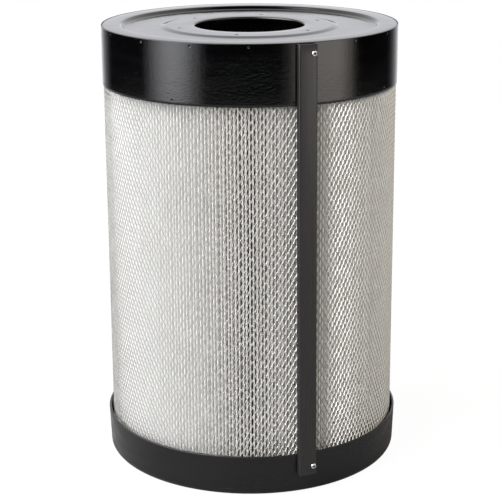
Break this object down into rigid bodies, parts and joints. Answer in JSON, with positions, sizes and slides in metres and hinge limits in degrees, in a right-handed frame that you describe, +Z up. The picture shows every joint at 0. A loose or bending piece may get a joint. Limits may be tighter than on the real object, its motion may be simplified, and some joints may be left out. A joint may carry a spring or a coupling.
{
  "type": "dust collector canister filter",
  "caption": "Round canister filter for a dust collector: pleated drum in an expanded-metal guard between a steel inlet cap and a moulded pan, held by two straps.",
  "frame": {"origin": "centre of the pan's flat underside, on the canister's axis", "axes": "+Z up along the canister's axis to the inlet cap, -Y towards the front strap"},
  "size_m": [0.4088, 0.4308, 0.6],
  "materials": {
    "cap_paint": "gloss black paint",
    "pan_plastic": "satin black moulded plastic",
    "strap_paint": "semi-gloss black paint",
    "guard_mesh": "galvanised expanded metal",
    "ring_paint": "semi-gloss black paint",
    "fastener_steel": "bright zinc plate",
    "filter_paper": "white pleated spun-bond filter sheet",
    "gasket_foam": "closed-cell foam rubber",
    "potting_resin": "cast resin"
  },
  "bodies": {
    "root": {"cap_top_disc": "cap_paint", "cap_skirt_band": "cap_paint", "upper_gasket": "gasket_foam", "upper_end_ring": "ring_paint", "upper_potting": "potting_resin", "pleated_media": "filter_paper", "inner_core": "guard_mesh", "outer_guard_left": "guard_mesh", "outer_guard_right": "guard_mesh", "lower_potting": "potting_resin", "lower_end_ring": "ring_paint", "lower_gasket": "gasket_foam", "base_pan": "pan_plastic", "strap_front": "strap_paint", "strap_screw_front_upper": "fastener_steel", "strap_nut_front_upper": "fastener_steel", "strap_screw_front_lower": "fastener_steel", "strap_nut_front_lower": "fastener_steel", "strap_rear": "strap_paint", "strap_screw_rear_upper": "fastener_steel", "strap_nut_rear_upper": "fastener_steel", "strap_screw_rear_lower": "fastener_steel", "strap_nut_rear_lower": "fastener_steel"}
  },
  "joints": []
}
